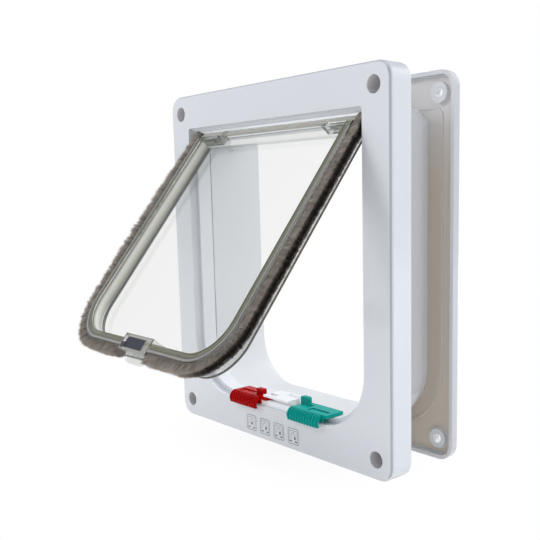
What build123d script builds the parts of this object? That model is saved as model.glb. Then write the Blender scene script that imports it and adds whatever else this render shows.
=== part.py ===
from build123d import *
import math
import os

os.makedirs("parts", exist_ok=True)

# A four-way locking cat flap for a house door, in millimetres.
# X is to the right, Y runs from the room through the door to the outside, Z is up.
# The origin is the middle of the interior frame's screw pattern, on the face that lies on the door.
# Depths are counted from the interior frame's face, the one seen in the room.

# Interior frame, a shell moulded round the opening
frame_width = 230.0
frame_height = 250.0
frame_depth = 17.4
corner_radius = 11.0
edge_round = 2.4
face_wall = 2.8
side_wall = 2.6
rib_wall = 1.6
rib_recess = 3.0
rib_pitch = 25.0
ribs_a_side = 7

# Screw holes, the same pattern in both frames
screw_inset = 13.3
screw_boss_radius = 8.2
screw_head_radius = 5.4
screw_head_depth = 11.5
screw_hole_radius = 2.3

# Opening: a mouth at the face, then a narrower throat that the flap hangs in
mouth_half_width = 92.0
mouth_top = 100.4
mouth_bottom = -99.6
mouth_radius = 40.0
mouth_top_radius = 2.0
mouth_depth = 6.2
mouth_wall = 2.4
throat_half_width = 89.0
throat_top = 97.6
throat_bottom = -96.4
throat_radius = 38.0
header_front = 3.0
header_drop = 1.6

# Tunnel of the exterior frame, which telescopes inside the interior frame's collar
tunnel_half_width = 88.8
tunnel_top = 97.1
tunnel_bottom = -103.5
tunnel_radius = 38.0
tunnel_top_radius = 3.0
tunnel_wall = 2.2
tunnel_gap = 0.6
collar_clearance = 0.6
collar_wall = 2.4
collar_length = 35.6
collar_flange = 2.4

# Exterior frame, set for the thinner of the doors it fits
door_thickness = 40.1
rim_height = 7.0
plate_wall = 3.0
exterior_boss_radius = 6.4
exterior_boss_height = 2.8
exterior_hole_radius = 3.1
ridge_half_width = 102.4
ridge_top = 102.2
ridge_bottom = -107.0
ridge_radius = 40.0
ridge_top_radius = 5.0
ridge_width = 1.0
ridge_height = 0.8

# Flap, drawn in its own plane: X, the drop below the hinge, and the height towards the room
open_angle = 38.4
hinge_depth = 9.5
hinge_drop = 6.1
window_radius = 24.4
hinge_end_inset = 8.0
far_flange_inset = 4.0
far_flange_rise = 3.2
far_flange_radius = 26.0
rim_web = 1.5
flange_wall = 1.2
near_lip_width = 5.6
near_face = 7.0
far_face = -5.6
panel_wall = 2.0
panel_far = -3.0
flap_top_radius = 5.2
top_bar_drop = 5.5
top_bar_low = 1.4
barrel_inner = 56.0

# Hinge pins, pressed into the flap and turning in the frame
pin_radius = 2.0
pin_clearance = 0.06
pin_inner = 66.0
pin_engagement = 2.6
pin_vent_radius = 1.2
socket_depth = 3.0

# Pile seal and its backing in the flap's channel
backing_wall = 1.0
backing_play = 0.2
pile_side_clearance = 0.7
pile_tab_clearance = 0.6
pile_side_width = 11.3
pile_low_width = 11.4
pile_radius = 36.5
pile_wall = 9.8
pile_far = -4.2
pile_start = 3.2
pile_gap_left = -20.0
pile_gap_right = 16.3

# Magnet pocket and locking nose at the bottom of the flap
holder_left = -16.5
holder_right = 15.5
holder_over_window = 3.1
holder_height = 11.3
holder_top = 7.6
holder_wall = 2.0
gusset_length = 16.5
pocket_right = 9.2
magnet_width = 21.3
pocket_depth = 2.2
holder_recess = 0.5
slot_width = 1.8
slot_height = 3.2
magnet_play = 0.1
nose_left = -13.5
nose_right = 7.0
nose_root_overlap = 2.6
nose_clearance = 1.0
nose_wall = 3.2
nose_radius = 4.0

# Lock: rail, magnet cover and the two sliders
rail_half_length = 50.0
rail_front = 1.8
rail_back = 4.2
rail_over_throat = 0.7
slider_clearance = 0.2
slider_plate = 2.2
slider_leg = 1.2
slider_leg_clearance = 0.7
grip_overlap = 2.0
grip_gap = 0.6
grip_wall = 1.6
grip_bulge = 4.2
grip_foot_back = 0.9
grip_shoulder_drop = 5.2
grip_bend = 0.72
grip_bend_drop = 2.0
grip_rib_height = 0.5
grip_rib_width = 1.3
grip_rib_count = 11
tab_height = 4.2
tab_width = 8.0
tab_wall = 3.2
tab_round = 1.2
red_grip_left = -43.5
red_grip_right = -13.0
red_plate_right = -6.5
red_cross_right = -23.6
red_cross_depth = 14.0
red_tab_left = -22.0
red_tab_front = 4.2
front_lane_depth = 7.5
green_grip_left = 22.5
green_grip_right = 52.7
green_plate_right = 57.0
green_cross_left = 33.0
green_tab_left = 18.5
green_tab_front = 11.8
green_plate_depth = 15.6
recess_depth = 0.7
recess_margin = 3.2
cover_left = -9.5
cover_right = 17.5
cover_height = 5.1
cover_wall = 1.4
cover_front = 0.6
cover_back = 17.4
cover_foot_front = 8.0
cover_foot_back = 11.2
tab_slot_play = 0.4
red_slot_right = -0.1
green_slot_left = 3.0
frame_magnet_left = -6.0
frame_magnet_right = 14.0
frame_magnet_wall = 2.0
frame_magnet_height = 4.0

# Places worked out from the sizes
front = -frame_depth
mouth_step = front + mouth_depth
hinge_y = front + hinge_depth
exterior_face = door_thickness + rim_height
plate_inner = exterior_face - plate_wall
screw_x = frame_width / 2 - screw_inset
screw_z = frame_height / 2 - screw_inset
bore_radius = pin_radius + pin_clearance
rail_top = throat_bottom + rail_over_throat
plate_low = rail_top + slider_clearance
slider_top = plate_low + slider_plate
tab_top = slider_top + tab_height
cover_top = throat_bottom + cover_height
hinge_height = throat_top - hinge_drop
hinge_half_width = throat_half_width - hinge_end_inset
pile_half_width = throat_half_width - pile_side_clearance
pile_drop = hinge_height - tab_top - pile_tab_clearance
nose_drop = hinge_height - cover_top - nose_clearance
window_half_width = pile_half_width - pile_side_width
window_drop = pile_drop - pile_low_width
holder_high = window_drop - holder_over_window
holder_low = holder_high + holder_height
panel_near = panel_far + panel_wall
tilt = math.radians(open_angle)
flap_plane = Plane(
    origin=(0, hinge_y, hinge_height),
    x_dir=(1, 0, 0),
    z_dir=(0, -math.cos(tilt), math.sin(tilt)),
)
screw_places = [(x, z) for x in (-screw_x, screw_x) for z in (-screw_z, screw_z)]


def plane_at(y):
    """Upright plane at a given Y; what is extruded from it grows towards the room."""
    return Plane.XZ.offset(-y)


def upright_outline(half_width, top, bottom, low_radius, high_radius):
    """Outline of an opening: nearly square above, with large rounds below."""
    with BuildSketch() as outline:
        with Locations((0, (top + bottom) / 2)):
            Rectangle(2 * half_width, top - bottom)
        fillet(outline.vertices().group_by(Axis.Y)[0], low_radius)
        fillet(outline.vertices().group_by(Axis.Y)[-1], high_radius)
    return outline.sketch


def tunnel_outline(grow):
    """The exterior tunnel's inner outline, grown all round."""
    return upright_outline(
        tunnel_half_width + grow, tunnel_top + grow, tunnel_bottom - grow,
        tunnel_radius + grow, tunnel_top_radius + grow)


def ridge_outline(grow):
    """The outline of the ridge on the exterior frame's inner face."""
    return upright_outline(
        ridge_half_width + grow, ridge_top + grow, ridge_bottom - grow,
        ridge_radius + grow, ridge_top_radius + grow)


def upright_block(shape, y_near, y_far, mode=Mode.ADD):
    """Extrude an upright outline between two depths of Y."""
    with BuildSketch(plane_at(y_far)) as section:
        add(shape)
    extrude(section.sketch, amount=y_far - y_near, mode=mode)


def flap_outline(grow, start):
    """The window's outline in the flap's plane, grown at the sides and below."""
    with BuildSketch() as outline:
        with Locations((0, -(window_drop + grow + start) / 2)):
            Rectangle(2 * (window_half_width + grow), window_drop + grow - start)
        fillet(outline.vertices().group_by(Axis.Y)[0], window_radius + grow)
    return outline.sketch


def flap_block(shape, low, high, mode=Mode.ADD):
    """Extrude a flap outline between two heights over the flap's plane."""
    with BuildSketch(flap_plane.offset(low)) as section:
        add(shape)
    extrude(section.sketch, amount=high - low, mode=mode)


def flap_rectangle(left, right, high_drop, low_drop):
    """Rectangle in the flap's plane between two drops below the hinge."""
    with BuildSketch() as rectangle:
        with Locations(((left + right) / 2, -(high_drop + low_drop) / 2)):
            Rectangle(right - left, low_drop - high_drop)
    return rectangle.sketch


def lock_box(x_left, x_right, near, far, z_low, z_high, mode=Mode.ADD):
    """Box of the lock, its depths counted from the interior frame's face."""
    with Locations(((x_left + x_right) / 2, front + (near + far) / 2, (z_low + z_high) / 2)):
        Box(x_right - x_left, far - near, z_high - z_low, mode=mode)


mouth_outline = upright_outline(
    mouth_half_width, mouth_top, mouth_bottom, mouth_radius, mouth_top_radius)
mouth_outside = upright_outline(
    mouth_half_width + mouth_wall, mouth_top + mouth_wall, mouth_bottom - mouth_wall,
    mouth_radius + mouth_wall, mouth_top_radius + mouth_wall)
throat_outline = upright_outline(
    throat_half_width, throat_top, throat_bottom, throat_radius, mouth_top_radius)

# Interior frame: face, outer wall, ribs, screw bosses, opening wall and collar in one moulding
collar_inner = tunnel_wall + collar_clearance
with BuildPart() as interior_frame:
    with BuildSketch(plane_at(0)):
        RectangleRounded(frame_width, frame_height, corner_radius)
    extrude(amount=frame_depth)
    fillet(interior_frame.faces().sort_by(Axis.Y)[0].edges(), edge_round)
    with BuildSketch(plane_at(0)):
        RectangleRounded(
            frame_width - 2 * side_wall, frame_height - 2 * side_wall, corner_radius - side_wall)
    extrude(amount=frame_depth - face_wall, mode=Mode.SUBTRACT)
    upright_block(mouth_outside, front + face_wall, 0)
    with BuildSketch(plane_at(0)):
        with Locations(*screw_places):
            Circle(screw_boss_radius)
    extrude(amount=frame_depth - face_wall)
    side_room = frame_width / 2 - side_wall / 2 - mouth_half_width
    top_room = frame_height / 2 - side_wall / 2 - mouth_top
    rib_x = frame_width / 2 - side_wall / 2 - side_room / 2
    rib_z = frame_height / 2 - side_wall / 2 - top_room / 2
    with BuildSketch(plane_at(-rib_recess)):
        with GridLocations(2 * rib_x, rib_pitch, 2, ribs_a_side):
            Rectangle(side_room, rib_wall)
        with GridLocations(rib_pitch, 2 * rib_z, ribs_a_side, 2):
            Rectangle(rib_wall, top_room)
    extrude(amount=frame_depth - face_wall - rib_recess)
    upright_block(tunnel_outline(collar_inner + collar_wall), -collar_flange, collar_length)
    upright_block(tunnel_outline(collar_inner), 0, collar_length, Mode.SUBTRACT)
    upright_block(mouth_outline, front, mouth_step, Mode.SUBTRACT)
    upright_block(throat_outline, mouth_step, 0, Mode.SUBTRACT)
    with BuildSketch(plane_at(mouth_step)):
        with Locations((0, mouth_top - header_drop / 2)):
            Rectangle(2 * mouth_half_width, header_drop)
    extrude(amount=mouth_depth - header_front)
    with BuildSketch(plane_at(0)):
        with Locations(*screw_places):
            Circle(screw_hole_radius)
    extrude(amount=frame_depth, mode=Mode.SUBTRACT)
    with BuildSketch(plane_at(front + screw_head_depth)):
        with Locations(*screw_places):
            Circle(screw_head_radius)
    extrude(amount=screw_head_depth, mode=Mode.SUBTRACT)
    socket_end = throat_half_width + socket_depth
    with BuildSketch(Plane.YZ.offset(-socket_end)):
        with Locations((hinge_y, hinge_height)):
            Circle(bore_radius)
    extrude(amount=2 * socket_end, mode=Mode.SUBTRACT)
interior_frame.part.label = "interior_frame"
export_step(interior_frame.part, "parts/interior_frame.step")

# Exterior frame: plate with a rim towards the door, screw bosses, a ridge and the tunnel
with BuildPart() as exterior_frame:
    with BuildSketch(plane_at(exterior_face)):
        RectangleRounded(frame_width, frame_height, corner_radius)
    extrude(amount=rim_height)
    fillet(exterior_frame.faces().sort_by(Axis.Y)[-1].edges(), edge_round)
    with BuildSketch(plane_at(plate_inner)):
        RectangleRounded(
            frame_width - 2 * side_wall, frame_height - 2 * side_wall, corner_radius - side_wall)
    extrude(amount=rim_height - plate_wall, mode=Mode.SUBTRACT)
    upright_block(ridge_outline(ridge_width), plate_inner - ridge_height, plate_inner)
    upright_block(ridge_outline(0), plate_inner - ridge_height, plate_inner, Mode.SUBTRACT)
    with BuildSketch(plane_at(plate_inner)):
        with Locations(*screw_places):
            Circle(exterior_boss_radius)
    extrude(amount=exterior_boss_height)
    upright_block(tunnel_outline(tunnel_wall), tunnel_gap, exterior_face)
    upright_block(tunnel_outline(0), tunnel_gap, exterior_face, Mode.SUBTRACT)
    with BuildSketch(plane_at(exterior_face)):
        with Locations(*screw_places):
            Circle(exterior_hole_radius)
    extrude(amount=rim_height, mode=Mode.SUBTRACT)
exterior_frame.part.label = "exterior_frame"
export_step(exterior_frame.part, "parts/exterior_frame.step")

# Flap: one clear moulding with its window, the seat for the pile, the top bar and the nose
channel_floor = far_face + flange_wall
channel_roof = near_face - flange_wall
with BuildSketch() as far_flange:
    far_half_width = throat_half_width - far_flange_inset
    far_drop = pile_drop - far_flange_rise
    with Locations((0, -far_drop / 2)):
        Rectangle(2 * far_half_width, far_drop)
    fillet(far_flange.vertices().group_by(Axis.Y)[0], far_flange_radius)
with BuildSketch() as pile_seat:
    with Locations((0, -(pile_drop + pile_start) / 2)):
        Rectangle(2 * pile_half_width, pile_drop - pile_start)
    add(flap_outline(near_lip_width, 0), mode=Mode.SUBTRACT)
with BuildSketch() as channel:
    add(flap_outline(near_lip_width, pile_start))
    add(flap_outline(rim_web, 0), mode=Mode.SUBTRACT)
with BuildSketch() as gusset:
    with BuildLine():
        Polyline(
            (holder_right, -holder_high),
            (holder_right + gusset_length, -window_drop),
            (holder_right, -window_drop),
            close=True)
    make_face()
with BuildPart() as flap_panel:
    flap_block(flap_outline(near_lip_width, 0), far_face, flap_top_radius)
    flap_block(flap_outline(near_lip_width, pile_start), flap_top_radius, near_face)
    with BuildSketch(Plane.YZ.offset(-hinge_half_width)):
        with Locations((hinge_y, hinge_height)):
            Circle(flap_top_radius)
    extrude(amount=2 * hinge_half_width)
    flap_block(pile_seat.sketch, channel_floor, flap_top_radius, Mode.SUBTRACT)
    flap_block(channel.sketch, channel_floor, channel_roof, Mode.SUBTRACT)
    flap_block(far_flange.sketch, far_face, channel_floor)
    flap_block(
        flap_rectangle(holder_left, holder_right, holder_high, holder_low),
        channel_floor, holder_top)
    flap_block(flap_outline(0, top_bar_drop), far_face, panel_far, Mode.SUBTRACT)
    window_near = flap_outline(0, top_bar_drop) - flap_rectangle(
        holder_left, holder_right, holder_high, window_drop) - gusset.sketch
    flap_block(window_near, panel_near, near_face, Mode.SUBTRACT)
    flap_block(
        flap_rectangle(-barrel_inner, barrel_inner, top_bar_low, 2 * top_bar_drop),
        panel_near, near_face, Mode.SUBTRACT)
    pocket_left = pocket_right - magnet_width
    pocket_high = holder_high + holder_wall
    pocket_low = holder_low - holder_wall
    flap_block(
        flap_rectangle(pocket_left, pocket_right, pocket_high, pocket_low),
        holder_top - pocket_depth, holder_top, Mode.SUBTRACT)
    slot_left = holder_left + holder_wall
    flap_block(
        flap_rectangle(slot_left, slot_left + slot_width, pocket_high, pocket_high + slot_height),
        far_face, holder_top, Mode.SUBTRACT)
    nose_root = holder_low - nose_root_overlap
    with BuildSketch(flap_plane.offset(-nose_wall / 2)) as nose:
        add(flap_rectangle(nose_left, nose_right, nose_root, nose_drop))
        fillet(nose.vertices().group_by(Axis.Y)[0], nose_radius)
    extrude(amount=nose_wall)
    for side in (-1, 1):
        with BuildSketch(Plane.YZ.offset(side * pin_inner)):
            with Locations((hinge_y, hinge_height)):
                Circle(pin_radius)
        extrude(amount=side * (throat_half_width - pin_inner), mode=Mode.SUBTRACT)
        with BuildSketch(Plane.YZ.offset(side * barrel_inner)):
            with Locations((hinge_y, hinge_height)):
                Circle(pin_vent_radius)
        extrude(amount=side * (pin_inner - barrel_inner), mode=Mode.SUBTRACT)
flap_panel.part.label = "flap_panel"
export_step(flap_panel.part, "parts/flap_panel.step")

# Pile seal: two L-shaped strips of brush, each standing on a woven backing in the channel
backing_grow = rim_web + backing_wall
gap_keep = 2 * pile_half_width
with BuildSketch() as pile_shape:
    with Locations((0, -(pile_drop + pile_start) / 2)):
        Rectangle(2 * pile_half_width, pile_drop - pile_start)
    fillet(pile_shape.vertices().group_by(Axis.Y)[0], pile_radius)
    add(flap_outline(backing_grow, 0), mode=Mode.SUBTRACT)
with BuildSketch() as backing_shape:
    add(flap_outline(backing_grow, pile_start))
    add(flap_outline(rim_web, 0), mode=Mode.SUBTRACT)
left_side = flap_rectangle(pile_gap_left - gap_keep, pile_gap_left - backing_play, 0, nose_drop)
right_side = flap_rectangle(pile_gap_right + backing_play, pile_gap_right + gap_keep, 0, nose_drop)

with BuildPart() as left_pile_seal:
    flap_block(pile_shape.sketch & left_side, pile_far, pile_far + pile_wall)
left_pile_seal.part.label = "left_pile_seal"
export_step(left_pile_seal.part, "parts/left_pile_seal.step")

with BuildPart() as right_pile_seal:
    flap_block(pile_shape.sketch & right_side, pile_far, pile_far + pile_wall)
right_pile_seal.part.label = "right_pile_seal"
export_step(right_pile_seal.part, "parts/right_pile_seal.step")

backing_low = channel_floor + backing_play
backing_high = channel_roof - backing_play
with BuildPart() as left_seal_backing:
    flap_block(backing_shape.sketch & left_side, backing_low, backing_high)
left_seal_backing.part.label = "left_seal_backing"
export_step(left_seal_backing.part, "parts/left_seal_backing.step")

with BuildPart() as right_seal_backing:
    flap_block(backing_shape.sketch & right_side, backing_low, backing_high)
right_seal_backing.part.label = "right_seal_backing"
export_step(right_seal_backing.part, "parts/right_seal_backing.step")

# Flap magnet, a flat plate pressed into the pocket on the room side
with BuildPart() as flap_magnet:
    magnet_outline = flap_rectangle(
        pocket_left + magnet_play, pocket_right - magnet_play,
        pocket_high + magnet_play, pocket_low - magnet_play)
    flap_block(magnet_outline, holder_top - pocket_depth, holder_top - holder_recess)
flap_magnet.part.label = "flap_magnet"
export_step(flap_magnet.part, "parts/flap_magnet.step")

# Hinge pins: pressed into the flap's barrels, their ends turn in the sockets of the frame
pin_length = throat_half_width + pin_engagement - pin_inner
with BuildPart() as left_hinge_pin:
    with BuildSketch(Plane.YZ.offset(-pin_inner - pin_length)):
        with Locations((hinge_y, hinge_height)):
            Circle(pin_radius)
    extrude(amount=pin_length)
left_hinge_pin.part.label = "left_hinge_pin"
export_step(left_hinge_pin.part, "parts/left_hinge_pin.step")

with BuildPart() as right_hinge_pin:
    with BuildSketch(Plane.YZ.offset(pin_inner)):
        with Locations((hinge_y, hinge_height)):
            Circle(pin_radius)
    extrude(amount=pin_length)
right_hinge_pin.part.label = "right_hinge_pin"
export_step(right_hinge_pin.part, "parts/right_hinge_pin.step")

# Lock rail: the bar on the mouth's sill that both sliders straddle
with BuildPart() as lock_rail:
    lock_box(
        -rail_half_length, rail_half_length, rail_front, rail_back, mouth_bottom, rail_top)
lock_rail.part.label = "lock_rail"
export_step(lock_rail.part, "parts/lock_rail.step")

# Magnet cover: a bridge over the two lanes, with a slot for each tab, on a foot and a rear wall
magnet_near = (cover_foot_front + cover_foot_back - frame_magnet_wall) / 2
magnet_far = (cover_foot_front + cover_foot_back + frame_magnet_wall) / 2
magnet_high = throat_bottom + frame_magnet_height
with BuildPart() as magnet_cover:
    lock_box(
        cover_left, cover_right, cover_front, cover_back, cover_top - cover_wall, cover_top)
    lock_box(
        cover_left, cover_right, cover_back - cover_wall, cover_back, throat_bottom, cover_top)
    lock_box(
        cover_left, cover_right, cover_foot_front, cover_foot_back, throat_bottom, cover_top)
    lock_box(
        cover_left, red_slot_right, red_tab_front - tab_slot_play,
        red_tab_front + tab_wall + tab_slot_play, cover_top - cover_wall, cover_top,
        Mode.SUBTRACT)
    lock_box(
        green_slot_left, cover_right, green_tab_front - tab_slot_play,
        green_tab_front + tab_wall + tab_slot_play, cover_top - cover_wall, cover_top,
        Mode.SUBTRACT)
    lock_box(
        frame_magnet_left - magnet_play, frame_magnet_right + magnet_play,
        magnet_near - magnet_play, magnet_far + magnet_play,
        throat_bottom, magnet_high + magnet_play, Mode.SUBTRACT)
magnet_cover.part.label = "magnet_cover"
export_step(magnet_cover.part, "parts/magnet_cover.step")

with BuildPart() as frame_magnet:
    lock_box(
        frame_magnet_left, frame_magnet_right, magnet_near, magnet_far,
        throat_bottom, magnet_high)
frame_magnet.part.label = "frame_magnet"
export_step(frame_magnet.part, "parts/frame_magnet.step")


def grip_section(x_left, x_right, grow):
    """The thin curved finger grip in front of the frame's face, extruded along X."""
    top_y = front + rail_front - slider_clearance - slider_leg
    back_y = front - grip_gap
    shoulder_z = slider_top - grip_shoulder_drop
    face_y = back_y - grip_bulge - grow
    top_z = slider_top + grow / 2
    bend_y = back_y - grip_bend * (grip_bulge + grow)
    foot_y = face_y + grip_foot_back
    foot_z = mouth_bottom - grip_overlap
    with BuildSketch(Plane.YZ.offset(x_left)) as section:
        with BuildLine():
            Line((top_y, top_z), (back_y, top_z))
            ThreePointArc((back_y, top_z), (bend_y, top_z - grip_bend_drop), (face_y, shoulder_z))
            Line((face_y, shoulder_z), (foot_y, foot_z))
            Line((foot_y, foot_z), (foot_y + grip_wall + grow, foot_z))
            Line((foot_y + grip_wall + grow, foot_z), (face_y + grip_wall + grow, shoulder_z))
            Line((face_y + grip_wall + grow, shoulder_z), (back_y, plate_low))
            Line((back_y, plate_low), (top_y, plate_low))
            Line((top_y, plate_low), (top_y, top_z))
        make_face()
    extrude(section.sketch, amount=x_right - x_left)


def slider_front(grip_left, grip_right, plate_left, plate_right):
    """Grip with its ribs, the plate of the front lane and the legs on both sides of the rail."""
    leg_near = rail_front - slider_clearance - slider_leg
    leg_far = rail_back + slider_clearance
    grip_section(grip_left, grip_right, 0)
    rib_step = (grip_right - grip_left - 2 * grip_rib_width) / (grip_rib_count - 1)
    for rib in range(grip_rib_count):
        rib_left = grip_left + grip_rib_width / 2 + rib * rib_step
        grip_section(rib_left, rib_left + grip_rib_width, grip_rib_height)
    lock_box(plate_left, plate_right, leg_near, front_lane_depth, plate_low, slider_top)
    leg_low = mouth_bottom + slider_leg_clearance
    lock_box(grip_left, grip_right, leg_near, leg_near + slider_leg, leg_low, slider_top)
    lock_box(grip_left, grip_right, leg_far, leg_far + slider_leg, leg_low, slider_top)


def slider_tab(left, near):
    """Upright tab that stands beside the flap's nose when the slider is moved in."""
    with BuildSketch(plane_at(front + near + tab_wall)) as tab:
        with Locations((left + tab_width / 2, (slider_top + tab_top) / 2)):
            Rectangle(tab_width, tab_top - slider_top)
        fillet(tab.vertices().group_by(Axis.Y)[-1], tab_round)
    extrude(tab.sketch, amount=tab_wall)


# Red slider: moved in, its tab stands before the nose and stops the flap swinging into the room
with BuildPart() as red_slider:
    slider_front(red_grip_left, red_grip_right, red_grip_left, red_plate_right)
    lock_box(
        red_grip_left, red_cross_right, front_lane_depth, red_cross_depth, plate_low, slider_top)
    slider_tab(red_tab_left, red_tab_front)
    lock_box(
        red_grip_left + recess_margin, red_tab_left - recess_margin,
        rail_front, front_lane_depth, slider_top - recess_depth, slider_top, Mode.SUBTRACT)
red_slider.part.label = "red_slider"
export_step(red_slider.part, "parts/red_slider.step")

# Green slider: moved in, its tab stands behind the nose and stops the flap swinging outside
with BuildPart() as green_slider:
    slider_front(green_grip_left, green_grip_right, green_grip_left, green_plate_right)
    lock_box(
        green_cross_left, green_plate_right, front_lane_depth, green_plate_depth,
        plate_low, slider_top)
    lock_box(
        green_tab_left, green_plate_right, green_tab_front, green_plate_depth,
        plate_low, slider_top)
    slider_tab(green_tab_left, green_tab_front)
    lock_box(
        green_cross_left + recess_margin, green_plate_right - recess_margin,
        rail_front, front_lane_depth, slider_top - recess_depth, slider_top, Mode.SUBTRACT)
green_slider.part.label = "green_slider"
export_step(green_slider.part, "parts/green_slider.step")
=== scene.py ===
import bmesh, bpy, math, random
from mathutils import Matrix, Vector


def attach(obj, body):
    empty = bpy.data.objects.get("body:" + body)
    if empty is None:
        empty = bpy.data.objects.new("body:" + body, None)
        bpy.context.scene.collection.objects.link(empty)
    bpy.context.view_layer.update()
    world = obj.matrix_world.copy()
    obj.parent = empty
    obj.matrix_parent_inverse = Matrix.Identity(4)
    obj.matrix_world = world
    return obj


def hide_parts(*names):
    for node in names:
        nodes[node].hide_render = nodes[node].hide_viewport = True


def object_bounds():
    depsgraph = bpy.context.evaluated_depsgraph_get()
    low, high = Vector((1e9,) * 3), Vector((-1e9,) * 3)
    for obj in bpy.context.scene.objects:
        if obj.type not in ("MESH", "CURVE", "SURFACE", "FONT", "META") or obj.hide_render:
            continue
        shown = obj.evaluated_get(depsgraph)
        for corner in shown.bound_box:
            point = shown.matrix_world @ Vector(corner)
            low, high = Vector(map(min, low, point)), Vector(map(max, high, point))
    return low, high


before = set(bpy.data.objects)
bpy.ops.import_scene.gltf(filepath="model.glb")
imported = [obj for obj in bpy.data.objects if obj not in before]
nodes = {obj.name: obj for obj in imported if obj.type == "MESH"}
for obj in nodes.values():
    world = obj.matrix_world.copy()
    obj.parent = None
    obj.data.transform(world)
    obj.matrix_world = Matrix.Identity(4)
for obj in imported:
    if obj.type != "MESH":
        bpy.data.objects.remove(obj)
cad_low, cad_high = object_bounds()

# Camera: the photograph's own view, 47 degrees to the right of straight on and 8 degrees up.
# The photograph's optical middle lies off the picture's middle, so the camera is shifted.
mm = 0.001
camera_data = bpy.data.cameras.new("camera")
camera_data.sensor_width = 36.0
camera_data.lens = 50.46
camera_data.shift_x = -0.1111
camera_data.shift_y = 0.0556
camera_data.clip_start = 0.01
camera_data.clip_end = 50.0
camera = bpy.data.objects.new("camera", camera_data)
bpy.context.scene.collection.objects.link(camera)
view_right = Vector((0.68299, 0.73027, -0.01495))
view_down = Vector((0.09042, -0.10484, -0.99037))
view_forward = Vector((-0.72481, 0.67506, -0.13764))
camera.matrix_world = Matrix((
    (view_right.x, -view_down.x, -view_forward.x, 409.06 * mm),
    (view_right.y, -view_down.y, -view_forward.y, -340.09 * mm),
    (view_right.z, -view_down.z, -view_forward.z, 49.32 * mm),
    (0, 0, 0, 1),
))
bpy.context.scene.camera = camera

# White room: the background is plain white to the camera and through the clear flap.
# For light and reflections it is a soft grey that is brighter above than at the sides.
room_level = 0.50
room_rise = 0.20
room_tone = (0.95, 0.98, 1.04)
plain_white = (1, 1, 1)


def node(tree, kind, **inputs):
    """A new shader node with its inputs set or linked, each by its name or as _ and its number."""
    made = tree.nodes.new(kind)
    for key, value in inputs.items():
        socket = made.inputs[int(key[1:])] if key[1:].isdigit() else made.inputs[key.replace("_", " ")]
        if isinstance(value, bpy.types.NodeSocket):
            tree.links.new(value, socket)
        else:
            socket.default_value = value
    return made


def math_node(tree, operation, a, b=0.0, clamp=False):
    """A math node's output."""
    made = node(tree, "ShaderNodeMath", _0=a, _1=b)
    made.operation = operation
    made.use_clamp = clamp
    return made.outputs[0]


def blend(tree, mask, base, over):
    """A colour that is base where a mask is 0 and over where it is 1."""
    made = node(tree, "ShaderNodeMix", Factor=mask)
    made.data_type = "RGBA"
    for number, colour in ((6, base), (7, over)):
        if isinstance(colour, bpy.types.NodeSocket):
            tree.links.new(colour, made.inputs[number])
        else:
            made.inputs[number].default_value = (*colour, 1)
    return made.outputs[2]


def seen_straight(tree):
    """1 for a ray from the camera or through the clear flap, 0 for light and reflections."""
    rays = tree.nodes.new("ShaderNodeLightPath")
    return math_node(tree, "MAXIMUM", rays.outputs["Is Camera Ray"], rays.outputs["Is Transmission Ray"])


room = bpy.data.worlds.new("room")
bpy.context.scene.world = room
room.use_nodes = True
room_tree = room.node_tree
room_tree.nodes.clear()
direction = node(
    room_tree, "ShaderNodeSeparateXYZ", Vector=room_tree.nodes.new("ShaderNodeTexCoord").outputs["Generated"])
level = math_node(room_tree, "MULTIPLY", direction.outputs["Z"], room_rise)
level = math_node(room_tree, "ADD", level, room_level)
seen = seen_straight(room_tree)
strength = node(room_tree, "ShaderNodeMix", Factor=seen, _2=level, _3=1.0)
background = node(
    room_tree, "ShaderNodeBackground", Color=blend(room_tree, seen, room_tone, plain_white),
    Strength=strength.outputs[0])
node(room_tree, "ShaderNodeOutputWorld", Surface=background.outputs[0])

# Floor: a pale plane that both frames stand on, nearly white, with a faint shadow where they touch it.
# Away from the frames it turns plain white, and it throws a little light up on to their lower sides.
floor_reach = 6.0
floor_tone = (0.86, 0.86, 0.86, 1)
white_at_frames = 0.86
white_rise = 1.2
light_thrown_up = 0.5
floor_z = cad_low[2]


def vector_node(tree, operation, output, a, b=(0, 0, 0)):
    """A vector math node's output."""
    made = node(tree, "ShaderNodeVectorMath", _0=a, _1=b)
    made.operation = operation
    return made.outputs[output]


floor_mesh = bpy.data.meshes.new("floor")
floor_mesh.from_pydata(
    [(x * floor_reach, y * floor_reach, floor_z) for x, y in ((-1, -1), (1, -1), (1, 1), (-1, 1))],
    [], [(0, 1, 2, 3)])
floor = bpy.data.objects.new("floor", floor_mesh)
bpy.context.scene.collection.objects.link(floor)
floor_material = bpy.data.materials.new("pale_floor")
floor_material.use_nodes = True
floor_tree = floor_material.node_tree
floor_tree.nodes.clear()
pale = node(floor_tree, "ShaderNodeBsdfDiffuse", Color=floor_tone)
glow = node(floor_tree, "ShaderNodeEmission", Color=(*plain_white, 1), Strength=1.0)
floor_place = floor_tree.nodes.new("ShaderNodeTexCoord").outputs["Object"]
away = vector_node(floor_tree, "DISTANCE", "Value", floor_place, (0.0, 0.01, floor_z))
whiteness = math_node(floor_tree, "MULTIPLY", away, white_rise)
whiteness = math_node(floor_tree, "ADD", whiteness, white_at_frames, clamp=True)
rays = floor_tree.nodes.new("ShaderNodeLightPath")
glow_share = math_node(
    floor_tree, "MAXIMUM", math_node(floor_tree, "MULTIPLY", seen_straight(floor_tree), whiteness),
    math_node(floor_tree, "MULTIPLY", rays.outputs["Is Diffuse Ray"], light_thrown_up))
floor_look = node(floor_tree, "ShaderNodeMixShader", _0=glow_share, _1=pale.outputs[0], _2=glow.outputs[0])
node(floor_tree, "ShaderNodeOutputMaterial", Surface=floor_look.outputs[0])
floor_mesh.materials.append(floor_material)

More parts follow.
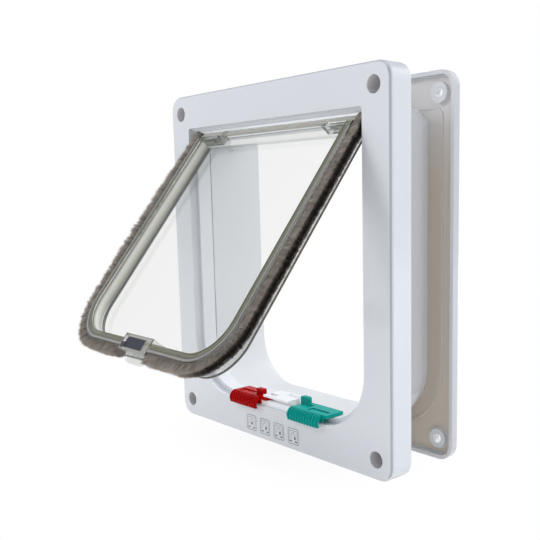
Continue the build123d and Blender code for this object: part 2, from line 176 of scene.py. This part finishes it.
# Lamps: three soft boxes, one high in front on the left, one on the right and one behind.
# They are kept out of mirror images, so that the flap's clear window stays clear from all sides.
for lamp_name, lamp_place, lamp_size, lamp_power in (
    ("soft_box_left", (-1.1, -1.3, 1.0), 0.6, 10.0),
    ("soft_box_right", (1.5, 0.1, 0.5), 1.0, 3.2),
    ("soft_box_back", (0.30, 1.35, 0.90), 0.8, 25.0),
):
    lamp_data = bpy.data.lights.new(lamp_name, "AREA")
    lamp_data.size = lamp_size
    lamp_data.energy = lamp_power
    lamp = bpy.data.objects.new(lamp_name, lamp_data)
    lamp.location = lamp_place
    lamp.visible_glossy = False
    lamp.visible_transmission = False
    lamp.rotation_euler = (-Vector(lamp_place)).to_track_quat("-Z", "Y").to_euler()
    bpy.context.scene.collection.objects.link(lamp)

# Interior frame: the thick moulding on the room side of the door, with the mouth and four screw holes.
# It is injection moulded in glossy white plastic, collar and all, and four screws hold it to the door.
# Painted shade greys the holes' floors, the collar and the top and cools the right side face, a painted dark
# reflection lines the right front edge's fillet, and a painted glow lights the top of the mouth.
moulded_white = (0.795, 0.81, 0.84)
recess_painted_shade = (0.70, 0.69, 0.70)
collar_painted_shade = (0.66, 0.66, 0.69)
edge_painted_reflection = (0.46, 0.47, 0.50)
flank_painted_shade = (0.745, 0.775, 0.815)
crown_painted_shade = (0.56, 0.58, 0.62)
mouth_glow_tone = (0.97, 0.98, 1.0, 1)
mouth_glow_strength = 0.30
screw_x = 101.7 * mm
screw_z = 111.7 * mm
recess_radius = 5.7 * mm
recess_floor_y = -17.0 * mm
collar_x = 90.5 * mm
collar_y = 0.3 * mm
flank_x = 111.0 * mm
crown_z = 118.0 * mm
mouth_top_z = 99.0 * mm
mouth_glow_low_z = 80.0 * mm
line_soft = 0.5 * mm


def shader(name, colour, roughness, **inputs):
    """A Principled material; further inputs are given by name with _ for a space."""
    made = bpy.data.materials.new(name)
    made.use_nodes = True
    principled = made.node_tree.nodes["Principled BSDF"]
    principled.inputs["Base Color"].default_value = (*colour, 1)
    principled.inputs["Roughness"].default_value = roughness
    for key, value in inputs.items():
        principled.inputs[key.replace("_", " ")].default_value = value
    return made


def paint(piece_name, material):
    """Gives a CAD node its one material."""
    piece = nodes[piece_name]
    piece.data.materials.clear()
    piece.data.materials.append(material)


def past(tree, value, start, soft):
    """0 up to a start, then 1 from one soft width on."""
    return math_node(tree, "MULTIPLY", math_node(tree, "SUBTRACT", value, start), 1 / soft, clamp=True)


def short_of(tree, value, end, soft):
    """1 until one soft width before an end, then 0 from the end on."""
    return math_node(tree, "MULTIPLY", math_node(tree, "SUBTRACT", end, value), 1 / soft, clamp=True)


def all_of(tree, first, *others):
    """The overlap of two or more masks."""
    for other in others:
        first = math_node(tree, "MULTIPLY", first, other)
    return first


def place_and_facing(tree):
    """A surface's X, Y and Z, and those of its normal, as outputs."""
    surface_at = tree.nodes.new("ShaderNodeTexCoord")
    return [
        node(tree, "ShaderNodeSeparateXYZ", Vector=surface_at.outputs[name]).outputs
        for name in ("Object", "Normal")]


def from_screw(tree, place):
    """The distance from the nearest screw's axis."""
    aside = node(
        tree, "ShaderNodeCombineXYZ", Y=0.0,
        X=math_node(tree, "SUBTRACT", math_node(tree, "ABSOLUTE", place["X"]), screw_x),
        Z=math_node(tree, "SUBTRACT", math_node(tree, "ABSOLUTE", place["Z"]), screw_z))
    return vector_node(tree, "LENGTH", "Value", aside.outputs[0])


interior_white = shader("frame_white", moulded_white, 0.16, Coat_Weight=0.3, Coat_Roughness=0.05)
tree = interior_white.node_tree
place, facing = place_and_facing(tree)
# painted shade: the floors of the four screw holes are drawn grey
in_recess = all_of(
    tree, short_of(tree, from_screw(tree, place), recess_radius, mm / 9),
    past(tree, place["Y"], recess_floor_y, line_soft))
# painted shade: the collar between the two frames is drawn grey
on_collar = all_of(
    tree, past(tree, math_node(tree, "ABSOLUTE", place["X"]), collar_x, line_soft),
    past(tree, place["Y"], collar_y, line_soft))
outermost = past(tree, place["X"], flank_x, line_soft)
# painted reflection: a dark line along the fillet of the right front edge
turned = math_node(tree, "MULTIPLY", facing["X"], facing["Y"])
on_edge = all_of(tree, short_of(tree, turned, -0.30, 1 / 12), outermost)
# painted shade: the right side face is drawn a cooler, darker white
on_flank = all_of(tree, past(tree, facing["X"], 0.75, 1 / 6), outermost)
# painted shade: the upward-facing top of the frame is drawn grey
on_crown = all_of(
    tree, past(tree, facing["Z"], 0.35, 1 / 3), past(tree, place["Z"], crown_z, line_soft))
tone = moulded_white
for mask, colour in (
    (in_recess, recess_painted_shade),
    (on_collar, collar_painted_shade),
    (on_edge, edge_painted_reflection),
    (on_flank, flank_painted_shade),
    (on_crown, crown_painted_shade),
):
    tone = blend(tree, mask, tone, colour)
# painted glow: the mouth's downward-facing ceiling, from 80 to 99 mm up, glows faintly
mouth_ceiling = all_of(
    tree, short_of(tree, facing["Z"], -0.9, 1 / 20),
    short_of(tree, place["Z"], mouth_top_z, line_soft), past(tree, place["Z"], mouth_glow_low_z, line_soft))
principled = tree.nodes["Principled BSDF"]
principled.inputs["Emission Color"].default_value = mouth_glow_tone
tree.links.new(tone, principled.inputs["Base Color"])
tree.links.new(
    math_node(tree, "MULTIPLY", mouth_ceiling, mouth_glow_strength), principled.inputs["Emission Strength"])
paint("interior_frame", interior_white)

# Exterior frame: the second plate and its tunnel, which slides in the interior frame's collar.
# It is one glossy white moulding, held by the far ends of the same four screws.
# Painted shade draws it a little darker than the interior frame, makes the face towards the door inside its
# rim taupe in its lower part and paler near the top, and greys the rim's top and right side.
shaded_outer_white = (0.74, 0.75, 0.765)
plate_painted_shade = (0.70, 0.62, 0.52)
plate_paler_painted_shade = (0.735, 0.71, 0.69)
boss_white = (0.76, 0.77, 0.78)
rim_painted_shade = (0.60, 0.61, 0.65)
within_rim_x = 111.6 * mm
within_rim_z = 121.6 * mm
plate_y = 38.0 * mm
pale_from_z = 62.0 * mm
pale_soft = 40.0 * mm
boss_radius = 7.2 * mm
rim_x = 110.0 * mm
rim_z = 118.0 * mm
exterior_white = shader("warm_white", moulded_white, 0.2, Coat_Weight=0.2)
tree = exterior_white.node_tree
place, facing = place_and_facing(tree)
within_rim = all_of(
    tree, short_of(tree, facing["Y"], -0.3, 1 / 4), past(tree, place["Y"], plate_y, line_soft),
    short_of(tree, math_node(tree, "ABSOLUTE", place["X"]), within_rim_x, line_soft),
    short_of(tree, math_node(tree, "ABSOLUTE", place["Z"]), within_rim_z, line_soft))
# painted shade: taupe low on the face inside the rim, paling upwards from 62 mm
plate_shade_tone = blend(tree, past(tree, place["Z"], pale_from_z, pale_soft), plate_painted_shade, plate_paler_painted_shade)
# the screw bosses are drawn pale over the painted shade
on_boss = short_of(tree, from_screw(tree, place), boss_radius, mm / 1.5)
plate_shade_tone = blend(tree, on_boss, plate_shade_tone, boss_white)
# painted shade: the rest of the frame is drawn a little darker than the interior frame's white
tone = blend(tree, within_rim, shaded_outer_white, plate_shade_tone)
# painted shade: the rim's top and right side are drawn grey
rim_top = all_of(tree, past(tree, facing["Z"], 0.35, 1 / 3), past(tree, place["Z"], rim_z, line_soft))
rim_side = all_of(tree, past(tree, facing["X"], 0.35, 1 / 3), past(tree, place["X"], rim_x, line_soft))
tone = blend(tree, math_node(tree, "MAXIMUM", rim_top, rim_side), tone, rim_painted_shade)
tree.links.new(tone, tree.nodes["Principled BSDF"].inputs["Base Color"])
paint("exterior_frame", exterior_white)

# Lock rail and magnet cover: the strip on the sill that the sliders ride on, and the block in its middle.
# Both are small glossy white mouldings, set in the sill of the interior frame, and a faint painted glow
# lightens the shade in and under them.
sill_white_with_glow = shader(
    "glossy_white_painted_glow", moulded_white, 0.16, Coat_Weight=0.3, Coat_Roughness=0.05, Emission_Strength=0.16)
paint("lock_rail", sill_white_with_glow)
paint("magnet_cover", sill_white_with_glow)

# Magnets: dark nickel-plated plates, one pressed into the flap's pocket and one under the cover.
# They pull on each other through the plastic and bring the flap to rest.
magnet_metal = shader("magnet_metal", (0.055, 0.06, 0.08), 0.35, Metallic=0.5)
paint("flap_magnet", magnet_metal)
paint("frame_magnet", magnet_metal)

# Lock sliders: one red and one blue-green, each with a ribbed grip and an upright tab.
# They are glossy mouldings in coloured plastic that ride on the rail, and their tabs stop the flap.
paint("red_slider", shader("red_plastic", (0.44, 0.002, 0.002), 0.22, Specular_IOR_Level=0.06))
paint("green_slider", shader("green_plastic", (0.002, 0.36, 0.31), 0.22, Specular_IOR_Level=0.1))

# Hinge pins: two short pins of pale smooth plastic, pressed into the flap's barrels.
# Their outer ends turn in sockets in the sides of the interior frame.
pin_plastic = shader("pin_plastic", (0.45, 0.45, 0.43), 0.4)
paint("left_hinge_pin", pin_plastic)
paint("right_hinge_pin", pin_plastic)

# Flap: one clear moulding with a thin window and a thick channel round three sides for the seal.
# It hangs on the hinge pins. The thick plastic gathers an olive grey tone, which is drawn where the
# rim, the hinge bar, the barrels and the magnet's pocket show it; the window and the nose stay clear.
# On the lip a painted highlight line is drawn too, and on the channel's inner wall painted light and shade.
tilt = math.radians(38.4)
hinge = Vector((0, -7.9 * mm, 91.5 * mm))
across_flap = Vector((1, 0, 0))
up_flap = Vector((0, math.sin(tilt), math.cos(tilt)))
out_flap = Vector((0, -math.cos(tilt), math.sin(tilt)))
window_outline = (77.0, 168.6, 24.4)
flange_outline = (85.0, 176.8, 26.0)
through_tint = (0.95, 0.955, 0.96, 1)
shadow_tint = (0.86, 0.87, 0.88, 1)
clear_plastic = shader(
    "clear_plastic", (0.985, 0.99, 0.99), 0.02, Transmission_Weight=1.0, IOR=1.45)
flap_tree = clear_plastic.node_tree
flap_place = flap_tree.nodes.new("ShaderNodeTexCoord")
from_hinge = vector_node(flap_tree, "SUBTRACT", "Vector", flap_place.outputs["Object"], tuple(hinge))


def on_flap(x, drop, height):
    """A point of the flap from its X, its drop below the hinge and its height, all in mm."""
    return hinge + mm * (across_flap * x - up_flap * drop + out_flap * height)


def along(way):
    """A surface's distance from the hinge along one direction, in mm."""
    return vector_node(flap_tree, "DOT_PRODUCT", "Value", from_hinge, tuple(Vector(way) * 1000.0))


def band(value, low, high, soft):
    """1 where a value lies between two limits, 0 outside, with soft edges."""
    return all_of(flap_tree, past(flap_tree, value, low, soft), short_of(flap_tree, value, high, soft))


def outside_of(half_width, lowest, radius):
    """How far a surface lies outside an outline with rounded lower corners, in mm."""
    corner = node(
        flap_tree, "ShaderNodeCombineXYZ", Z=0.0,
        X=math_node(flap_tree, "MAXIMUM", math_node(
            flap_tree, "SUBTRACT", flap_side, half_width - radius), 0.0),
        Y=math_node(flap_tree, "MAXIMUM", math_node(
            flap_tree, "SUBTRACT", flap_drop, lowest - radius), 0.0))
    length = vector_node(flap_tree, "LENGTH", "Value", corner.outputs[0])
    return math_node(flap_tree, "SUBTRACT", length, radius)


flap_x = along(across_flap)
flap_side = math_node(flap_tree, "ABSOLUTE", flap_x)
flap_drop = along(-up_flap)
flap_height = along(out_flap)
off_window = outside_of(*window_outline)
off_flange = outside_of(*flange_outline)
hinge_section = node(flap_tree, "ShaderNodeCombineXYZ", X=flap_drop, Y=flap_height, Z=0.0)
from_axle = vector_node(flap_tree, "LENGTH", "Value", hinge_section.outputs[0])
lip_top = band(flap_height, 6.9, 9.0, 0.1)
inner_wall = band(off_window, -0.2, 0.2, 0.1)
flange_level = band(flap_height, -6.0, -4.0, 0.2)
tone = (0.17, 0.16, 0.095)
cover = 0.0
for zone, colour, zone_cover in (
    # the channel's lip: an olive band, a dark line on its inner side and a painted highlight line on its
    # outer
    ((lip_top, band(off_window, 0.2, 3.6, 0.4)), (0.17, 0.16, 0.095), 0.62),
    ((lip_top, band(off_window, -0.3, 1.5, 0.3)), (0.12, 0.11, 0.05), 0.80),
    ((lip_top, band(off_window, 3.5, 5.3, 0.4)), (0.58, 0.59, 0.55), 0.46),
    # painted light and shade on the channel's inner wall: pale in its middle, olive below, dark at its brow
    # and its foot
    ((inner_wall, band(flap_height, -3.3, 6.4, 0.8)), (0.95, 0.94, 0.87), 0.87),
    ((inner_wall, band(flap_height, -9.0, 2.6, 4.0)), (0.50, 0.48, 0.36), 0.80),
    ((inner_wall, band(flap_height, 4.2, 7.2, 1.8)), (0.14, 0.13, 0.065), 0.78),
    ((inner_wall, band(flap_height, -5.8, -3.0, 0.5)), (0.04, 0.055, 0.07), 0.80),
    # the magnet's pocket, its dark left end and the pale wall of its slot
    ((band(flap_x, -16.8, 15.8, 0.2), band(flap_drop, 165.2, 177.1, 0.2),
      band(flap_height, 2.0, 9.0, 0.3)), (0.22, 0.21, 0.175), 0.55),
    ((band(flap_x, -15.6, -12.0, 0.3), band(flap_drop, 166.6, 175.4, 0.3),
      band(flap_height, 3.0, 9.0, 0.3)), (0.015, 0.015, 0.013), 0.95),
    ((band(flap_x, -15.0, -12.3, 0.1), band(flap_drop, 167.2, 171.4, 0.1),
      band(flap_height, -6.0, 9.0, 0.2)), (0.95, 0.95, 0.95), 0.95),
    # the front of the hinge bar and the barrels at its ends
    ((band(flap_drop, -1.4, 1.7, 0.3), band(flap_height, 3.0, 9.0, 0.3),
      band(flap_side, -1.0, 57.0, 0.3)), (0.34, 0.33, 0.25), 0.70),
    ((band(flap_side, 55.8, 84.0, 0.1), band(from_axle, 1.4, 5.5, 0.2)), (0.50, 0.50, 0.45), 0.93),
    # the flange behind the seal: its face and its dark rim
    ((flange_level, band(off_flange, -7.0, -0.4, 0.3)), (0.92, 0.91, 0.82), 0.15),
    ((flange_level, band(off_flange, -0.6, 0.5, 0.1)), (0.08, 0.075, 0.055), 0.85),
):
    mask = all_of(flap_tree, *zone)
    tone = blend(flap_tree, mask, tone, colour)
    cover = math_node(flap_tree, "MAXIMUM", cover, math_node(flap_tree, "MULTIPLY", mask, zone_cover))
gathered = node(flap_tree, "ShaderNodeBsdfPrincipled", Base_Color=tone, Roughness=0.25)
over_bar = all_of(flap_tree, band(flap_drop, -9.0, -1.4, 0.2), band(flap_side, -1.0, 56.0, 0.2))
behind_bar = all_of(flap_tree, band(flap_drop, -9.0, 6.4, 0.2), band(flap_height, -9.0, -2.6, 0.2))
on_nose = all_of(flap_tree, band(flap_drop, 177.2, 190.0, 0.2), band(flap_x, -20.0, 18.0, 0.2))
bar_clearness = math_node(
    flap_tree, "MULTIPLY", math_node(flap_tree, "MAXIMUM", over_bar, behind_bar), 0.85)
clearness = math_node(
    flap_tree, "MAXIMUM", bar_clearness, math_node(flap_tree, "MULTIPLY", on_nose, 0.96))
straight_through = node(flap_tree, "ShaderNodeBsdfTransparent", Color=through_tint)
refracting = flap_tree.nodes["Principled BSDF"]
clear_parts = node(
    flap_tree, "ShaderNodeMixShader", _0=clearness, _1=refracting.outputs[0], _2=straight_through.outputs[0])
whole_flap = node(
    flap_tree, "ShaderNodeMixShader", _0=cover, _1=clear_parts.outputs[0], _2=gathered.outputs[0])
rays = flap_tree.nodes.new("ShaderNodeLightPath")
pale_shadow = node(flap_tree, "ShaderNodeBsdfTransparent", Color=shadow_tint)
lighting = math_node(
    flap_tree, "MAXIMUM", rays.outputs["Is Shadow Ray"], rays.outputs["Is Diffuse Ray"])
flap_look = node(
    flap_tree, "ShaderNodeMixShader", _0=lighting, _1=whole_flap.outputs[0], _2=pale_shadow.outputs[0])
in_the_thick = node(flap_tree, "ShaderNodeVolumeAbsorption", Color=(0.62, 0.63, 0.58, 1), Density=75.0)
flap_output = flap_tree.nodes["Material Output"]
flap_tree.links.new(flap_look.outputs[0], flap_output.inputs["Surface"])
flap_tree.links.new(in_the_thick.outputs[0], flap_output.inputs["Volume"])
paint("flap_panel", clear_plastic)

# Seal backings: the two woven strips that the brush stands on.
# They are stiff grey tape, pushed into the flap's channel with the brush.
woven_tape = shader("woven_backing", (0.34, 0.33, 0.30), 0.9)
paint("left_seal_backing", woven_tape)
paint("right_seal_backing", woven_tape)

# Pile seals: a dense brush of short taupe bristles, one L-shaped strip a side, parted at the magnet.
# Each bristle is a thin blade from inside the channel to past the pile's tip line, over a dark core
# that stands for painted shade deep in the brush and keeps light from showing between them. Painted
# shade darkens the roots and the outer flanks, and painted light brightens the tips and some low far
# bristles. The two strips replace the two plain pile solids.
backing_half_width = 79.5
backing_drop = 171.1
backing_radius = 26.9
tip_half_width = 88.3
tip_drop = 180.0
tip_radius = 36.5
pile_start = 3.2
left_end_x = 20.0
right_end_x = 16.3
top_run = -0.04
side_length = 142.0
corner_length = 50.0
bottom_length = 52.0
bristles_a_strip = 58000
tuft_width = 0.75
core_sections = 90
core_profile = (
    (0.0, 5.0), (0.36, 5.0), (0.40, 6.2), (0.78, 6.4), (0.94, 5.4), (0.98, 3.6),
    (0.96, 1.6), (0.80, -0.2), (0.55, -1.4), (0.0, -2.0))
core_shade = 0.22
core_top_grow = 0.25
# painted shade at the bristles' roots and painted light at their tips
root_shade = 0.34
tip_shade = 0.74
shadow_tone = (0.012, 0.010, 0.008, 1)
pile_taupe = (0.43, 0.38, 0.33, 1)
painted_lit_tip_tone = (0.78, 0.715, 0.645, 1)
pile_material = shader("pile_fibre", pile_taupe[:3], 0.9, Specular_IOR_Level=0.05)
pile_tree = pile_material.node_tree
shade = node(pile_tree, "ShaderNodeAttribute")
shade.attribute_name = "shade"
fibre_tones = node(pile_tree, "ShaderNodeValToRGB", _0=shade.outputs["Fac"])
fibre_tones.color_ramp.elements[0].color = shadow_tone
fibre_tones.color_ramp.elements[1].color = painted_lit_tip_tone
fibre_tones.color_ramp.elements.new(0.5).color = pile_taupe
pile_tree.links.new(fibre_tones.outputs[0], pile_tree.nodes["Principled BSDF"].inputs["Base Color"])


def new_piece(name, mesh, material, body):
    """A new mesh object with the given material, riding on a CAD body."""
    made = bpy.data.objects.new(name, mesh)
    bpy.context.scene.collection.objects.link(made)
    mesh.materials.append(material)
    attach(made, body)
    return made


def strip_point(side, run, grow, end_x):
    """A place on the outline between the backing (grow 0) and the pile's tip line (1), in mm.

    run is 0 to 1 down the side, 1 to 2 round the corner and 2 to 3 along the bottom."""
    radius = backing_radius + (tip_radius - backing_radius) * grow
    half = backing_half_width + (tip_half_width - backing_half_width) * grow
    low = backing_drop + (tip_drop - backing_drop) * grow
    if run < 1.0:
        return side * half, pile_start + (low - radius - pile_start) * run
    if run < 2.0:
        angle = (run - 1.0) * math.pi / 2
        return (
            side * (half - radius + radius * math.cos(angle)),
            low - radius + radius * math.sin(angle))
    return side * (half - radius + (end_x - half + radius) * (run - 2.0)), low


def run_at(reach, end_x):
    """The run at a distance in mm from the strip's top."""
    if reach < side_length:
        return top_run + (1.0 - top_run) * reach / side_length
    if reach < side_length + corner_length:
        return 1 + (reach - side_length) / corner_length
    return 2 + (reach - side_length - corner_length) / (bottom_length - end_x)


def flank_shade(run, height):
    """How light the brush is: painted shadow lays a deep dark band on the outer flank of each side."""
    sideways = 1.0 if run < 1.0 else max(0.0, math.cos((run - 1.0) * math.pi / 2)) if run < 2.0 else 0.0
    depth = min(1.0, max(0.0, (height + 1.8) / 2.4), max(0.0, (5.7 - height) / 1.8))
    return 1.0 - 0.95 * max(0.0, depth) * min(1.0, 1.7 * sideways)


def pile_core(side, end_x):
    """The solid core's points, faces and shades, as its profile carried down the strip."""
    points, faces, shades = [], [], []
    ring = len(core_profile)
    for section in range(core_sections + 1):
        run = top_run + (3.0 - top_run) * section / core_sections
        for grow, height in core_profile:
            x, drop = strip_point(side, run, max(grow, core_top_grow) if run < 0.0 else grow, end_x)
            points.append(on_flap(x, drop, height))
            shades.append(core_shade * flank_shade(run, height))
    for base in range(0, core_sections * ring, ring):
        for corner in range(ring):
            following = (corner + 1) % ring
            faces.append((base + corner, base + following, base + ring + following, base + ring + corner))
    faces.append(tuple(range(ring))[::-1])
    faces.append(tuple(core_sections * ring + corner for corner in range(ring)))
    if side > 0:
        faces = [face[::-1] for face in faces]
    return points, faces, shades


def pile_strip(name, side, end_x, seed):
    """One strip of bristles in tufts over its core, as one mesh that rides with the flap."""
    draw = random.Random(seed)
    points, faces, shades = pile_core(side, end_x)
    strip_length = side_length + corner_length + bottom_length - end_x
    tufts = int(strip_length / tuft_width) + 1
    tuft_tone = [draw.gauss(0, 0.08) for _ in range(tufts)]
    tuft_lean = [draw.gauss(0, 0.007) for _ in range(tufts)]
    tuft_height = [
        draw.uniform(0.82, 1.06) + (0.35 if draw.random() < 0.22 else 0.0) for _ in range(tufts)]
    for _ in range(bristles_a_strip):
        reach = draw.random() * strip_length
        tuft = int(reach / tuft_width)
        run = run_at(reach, end_x)
        # sweep is -1 on the brush's door side, 0 straight out and 1 on its room side
        sweep = draw.uniform(-1.0, 1.0)
        if draw.random() < 0.45:
            sweep = draw.uniform(0.7, 1.0)
        outward = math.sqrt(max(0.0, 1.0 - sweep * sweep))
        root_grow = 0.44 + 0.44 * (outward if sweep < 0.7 else draw.random())
        near_side = max(0.0, sweep - 0.5) * 2.0
        root_height = 2.1 + 4.2 * sweep + draw.gauss(0, 0.15)
        length = tuft_height[tuft] * draw.uniform(0.82, 1.06)
        bulge = near_side * math.sin(math.pi * min(1.0, max(0.0, run))) if side < 0 else 0.0
        root_height += 0.7 * bulge
        tip_grow = min(root_grow + (0.27 + 0.24 * near_side) * length, draw.uniform(1.18, 1.32))
        tip_height = root_height + (0.20 + 0.40 * sweep + 0.75 * near_side + 1.0 * bulge) * length
        tip_height += draw.gauss(0, 0.12) + (
            draw.uniform(0.4, 1.5) * near_side if draw.random() < 0.05 else 0.0)
        tip_run = min(max(run + tuft_lean[tuft] + draw.gauss(0, 0.005), -0.05), 3.0)
        root = on_flap(*strip_point(side, run, root_grow, end_x), root_height)
        tip = on_flap(*strip_point(side, tip_run, tip_grow, end_x), tip_height)
        way = (tip - root).normalized()
        aside = Matrix.Rotation(draw.uniform(0, math.pi), 3, way) @ way.orthogonal().normalized()
        aside *= draw.uniform(0.09, 0.17) * mm
        base = len(points)
        points += [root - aside, root + aside, tip]
        faces.append((base, base + 1, base + 2))
        tone = tuft_tone[tuft] + draw.gauss(0, 0.09)
        flank = flank_shade(run, tip_height + draw.gauss(0, 0.8 if tip_height > 2.0 else 1.4))
        # painted light: about half the low far bristles are lightened where light comes through the flange
        if tip_height < 0.4 and draw.random() < 0.55:
            tone += 0.45
        root_tone = max(0.0, (root_shade + tone) * flank)
        shades += [root_tone, root_tone, max(0.0, (tip_shade + tone) * flank)]
    mesh = bpy.data.meshes.new(name)
    mesh.from_pydata(points, [], faces)
    mesh.attributes.new("shade", "FLOAT", "POINT").data.foreach_set("value", shades)
    return new_piece(name, mesh, pile_material, "flap_body")


left_strip = pile_strip("left_pile", -1, left_end_x, 11)
right_strip = pile_strip("right_pile", 1, right_end_x, 12)
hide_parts("left_pile_seal")
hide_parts("right_pile_seal")

# Lock pictograms: four small outlined squares on the interior frame's lower face, one for each setting.
# Each is a thin grey print of an arch for the opening, a spot for the cat and two bars for the sliders.
print_tone = (0.11, 0.11, 0.13)
frame_face_y = -17.4
print_lift = 0.03
icon_z = -114.6
outline_width = 0.36
arch_width = 0.26
spot_width = 1.6
bar_width = 0.9
print_bmesh = bmesh.new()


def stroke(start, end, width):
    """A thin flat stroke on the frame's face between two places given by X and Z, in mm."""
    first = Vector((start[0], frame_face_y - print_lift, start[1]))
    last = Vector((end[0], frame_face_y - print_lift, end[1]))
    way = (last - first).normalized()
    aside = Vector((-way.z, 0, way.x))
    turn = Matrix((way, aside, way.cross(aside))).transposed().to_4x4()
    bmesh.ops.create_grid(
        print_bmesh, x_segments=1, y_segments=1, size=0.5,
        matrix=(
            Matrix.Scale(mm, 4) @ Matrix.Translation((first + last) / 2) @ turn
            @ Matrix.Diagonal(((last - first).length, width, 1, 1))))


def stroke_path(places, width):
    """A run of strokes."""
    for start, end in zip(places, places[1:]):
        stroke(start, end, width)


def rounded_square(centre_x, half_x, half_z, radius):
    """The closed outline of one pictogram's frame."""
    outline = []
    for quarter, (sign_x, sign_z) in enumerate(((1, 1), (-1, 1), (-1, -1), (1, -1))):
        for step in range(5):
            angle = (quarter + step / 4) * math.pi / 2
            outline.append((
                centre_x + sign_x * (half_x - radius) + radius * math.cos(angle),
                icon_z + sign_z * (half_z - radius) + radius * math.sin(angle)))
    return outline + outline[:1]


for icon_x, spot_x, spot_z in (
    (-23.4, 0.2, -0.6), (-7.8, 1.2, -1.0), (7.8, 1.3, -1.0), (23.4, 1.8, -1.2),
):
    stroke_path(rounded_square(icon_x, 5.3, 5.5, 0.8), outline_width)
    stroke_path([
        (icon_x - 4.2, icon_z - 2.6), (icon_x - 4.2, icon_z + 3.9),
        (icon_x + 4.2, icon_z + 3.9), (icon_x + 4.2, icon_z - 2.6)], arch_width)
    arch = [
        (icon_x - 0.2 + 2.1 * math.cos(math.radians(turn)),
         icon_z + 0.5 + 2.0 * math.sin(math.radians(turn)))
        for turn in range(0, 181, 30)]
    arch_foot = icon_z - 1.6
    stroke_path([(arch[0][0], arch_foot)] + arch + [(arch[-1][0], arch_foot)], arch_width)
    spot = (icon_x + spot_x, icon_z + spot_z)
    stroke((spot[0], spot[1] + 1.0), (spot[0], spot[1] - 1.0), spot_width)
    for inner, outer in ((-4.2, -1.6), (1.6, 4.2)):
        stroke((icon_x + inner, icon_z - 3.6), (icon_x + outer, icon_z - 3.6), bar_width)
print_mesh = bpy.data.meshes.new("lock_pictograms")
print_bmesh.to_mesh(print_mesh)
print_bmesh.free()
new_piece(
    "lock_pictograms", print_mesh, shader("grey_print", print_tone, 0.5), "interior_body")

bpy.context.scene.view_settings.view_transform = "Standard"
